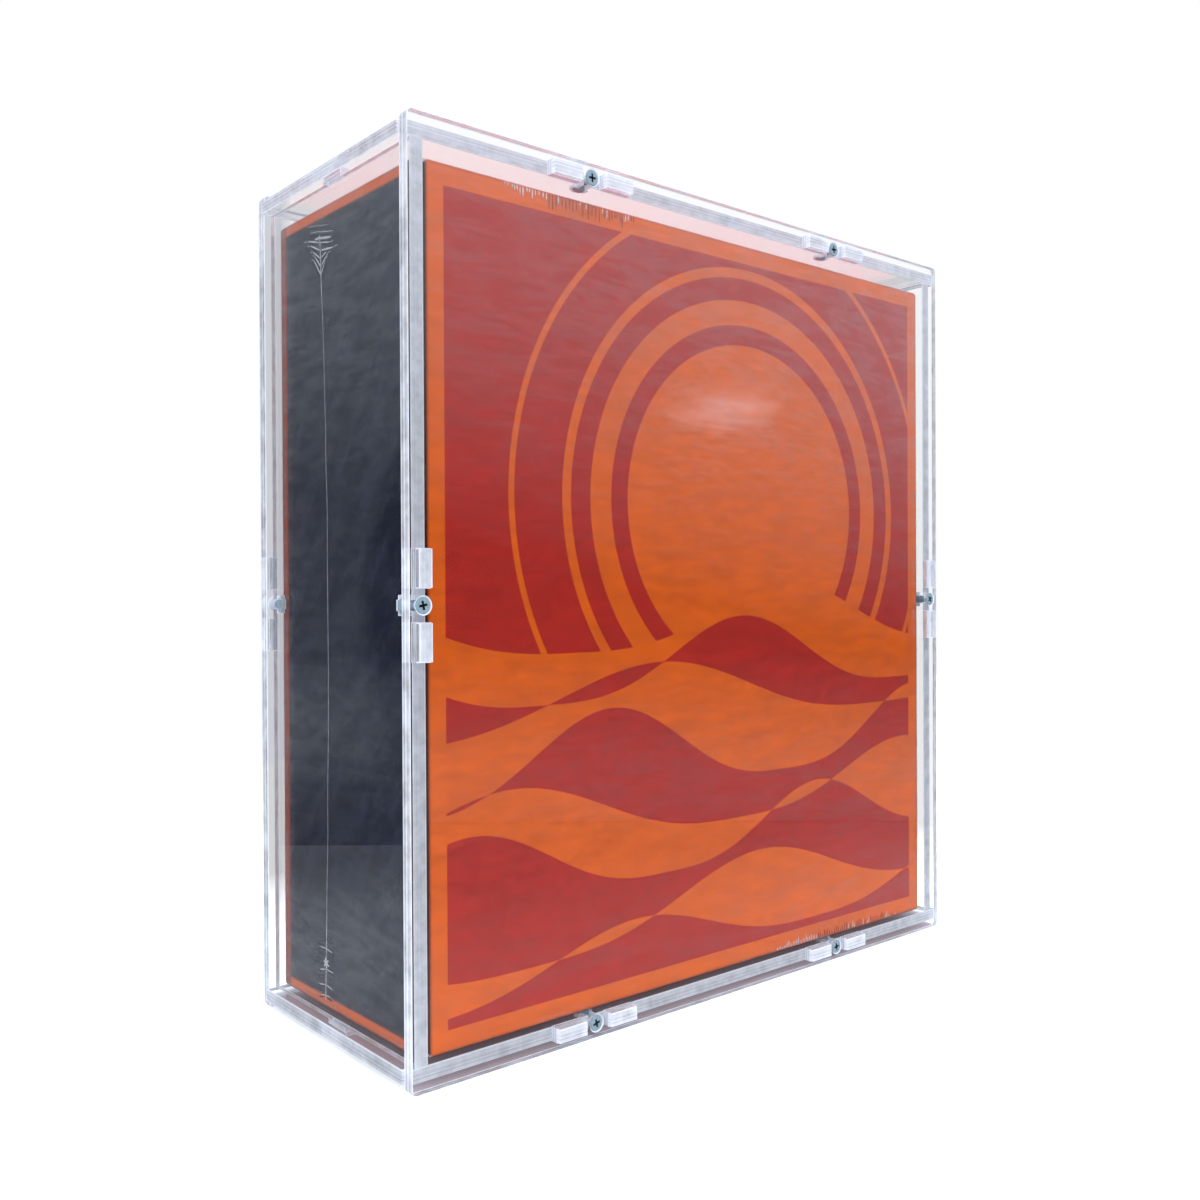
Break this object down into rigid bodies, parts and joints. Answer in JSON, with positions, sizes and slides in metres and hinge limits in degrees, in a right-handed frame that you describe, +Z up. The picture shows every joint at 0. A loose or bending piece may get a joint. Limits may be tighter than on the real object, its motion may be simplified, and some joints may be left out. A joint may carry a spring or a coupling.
{
  "type": "trading card display case",
  "caption": "Clear box case of tab-and-slot sheets screwed into captive nuts, closed round a shrink-wrapped card carton so that it can be shown and kept sealed.",
  "frame": {"origin": "middle of the case's footprint, on the surface it stands on", "axes": "+X to the right seen from the front, +Y to the back, +Z up"},
  "size_m": [0.2918, 0.1142, 0.314],
  "materials": {
    "acrylic": "clear, polished faces, frosted laser-cut edges",
    "zinc_steel": "bright zinc plating",
    "printed_card": "gloss print, orange and dark red, dark grey sides",
    "film": "clear shrink film, wrinkled"
  },
  "bodies": {
    "frame": {"left_panel": "acrylic", "right_panel": "acrylic", "top_panel": "acrylic", "bottom_panel": "acrylic", "nut_front_left": "zinc_steel", "nut_front_right": "zinc_steel", "nut_front_top_left": "zinc_steel", "nut_front_top_right": "zinc_steel", "nut_front_bottom_left": "zinc_steel", "nut_front_bottom_right": "zinc_steel", "nut_back_left": "zinc_steel", "nut_back_right": "zinc_steel", "nut_back_top_left": "zinc_steel", "nut_back_top_right": "zinc_steel", "nut_back_bottom_left": "zinc_steel", "nut_back_bottom_right": "zinc_steel"},
    "front_panel": {"front_panel": "acrylic"},
    "back_panel": {"back_panel": "acrylic"},
    "carton": {"carton": "printed_card", "shrink_film": "film"},
    "screw_front_left": {"screw_front_left": "zinc_steel"},
    "screw_front_right": {"screw_front_right": "zinc_steel"},
    "screw_front_top_left": {"screw_front_top_left": "zinc_steel"},
    "screw_front_top_right": {"screw_front_top_right": "zinc_steel"},
    "screw_front_bottom_left": {"screw_front_bottom_left": "zinc_steel"},
    "screw_front_bottom_right": {"screw_front_bottom_right": "zinc_steel"},
    "screw_back_left": {"screw_back_left": "zinc_steel"},
    "screw_back_right": {"screw_back_right": "zinc_steel"},
    "screw_back_top_left": {"screw_back_top_left": "zinc_steel"},
    "screw_back_top_right": {"screw_back_top_right": "zinc_steel"},
    "screw_back_bottom_left": {"screw_back_bottom_left": "zinc_steel"},
    "screw_back_bottom_right": {"screw_back_bottom_right": "zinc_steel"}
  },
  "joints": [
    {"name": "front_panel_lift", "type": "slide", "parent": "frame", "child": "front_panel", "axis": [0, -1, 0], "range_m": [0, 0.24]},
    {"name": "back_panel_lift", "type": "slide", "parent": "frame", "child": "back_panel", "axis": [0, 1, 0], "range_m": [0, 0.24]},
    {"name": "carton_slide", "type": "slide", "parent": "frame", "child": "carton", "axis": [0, -1, 0], "range_m": [0, 0.12]},
    {"name": "screw_front_left_out", "type": "slide", "parent": "front_panel", "child": "screw_front_left", "axis": [0, -1, 0], "range_m": [0, 0.02]},
    {"name": "screw_front_right_out", "type": "slide", "parent": "front_panel", "child": "screw_front_right", "axis": [0, -1, 0], "range_m": [0, 0.02]},
    {"name": "screw_front_top_left_out", "type": "slide", "parent": "front_panel", "child": "screw_front_top_left", "axis": [0, -1, 0], "range_m": [0, 0.02]},
    {"name": "screw_front_top_right_out", "type": "slide", "parent": "front_panel", "child": "screw_front_top_right", "axis": [0, -1, 0], "range_m": [0, 0.02]},
    {"name": "screw_front_bottom_left_out", "type": "slide", "parent": "front_panel", "child": "screw_front_bottom_left", "axis": [0, -1, 0], "range_m": [0, 0.02]},
    {"name": "screw_front_bottom_right_out", "type": "slide", "parent": "front_panel", "child": "screw_front_bottom_right", "axis": [0, -1, 0], "range_m": [0, 0.02]},
    {"name": "screw_back_left_out", "type": "slide", "parent": "back_panel", "child": "screw_back_left", "axis": [0, 1, 0], "range_m": [0, 0.02]},
    {"name": "screw_back_right_out", "type": "slide", "parent": "back_panel", "child": "screw_back_right", "axis": [0, 1, 0], "range_m": [0, 0.02]},
    {"name": "screw_back_top_left_out", "type": "slide", "parent": "back_panel", "child": "screw_back_top_left", "axis": [0, 1, 0], "range_m": [0, 0.02]},
    {"name": "screw_back_top_right_out", "type": "slide", "parent": "back_panel", "child": "screw_back_top_right", "axis": [0, 1, 0], "range_m": [0, 0.02]},
    {"name": "screw_back_bottom_left_out", "type": "slide", "parent": "back_panel", "child": "screw_back_bottom_left", "axis": [0, 1, 0], "range_m": [0, 0.02]},
    {"name": "screw_back_bottom_right_out", "type": "slide", "parent": "back_panel", "child": "screw_back_bottom_right", "axis": [0, 1, 0], "range_m": [0, 0.02]}
  ],
  "couplings": [
    {"joint": "carton_slide", "follows": "front_panel_lift", "ratio": 0.46}
  ]
}
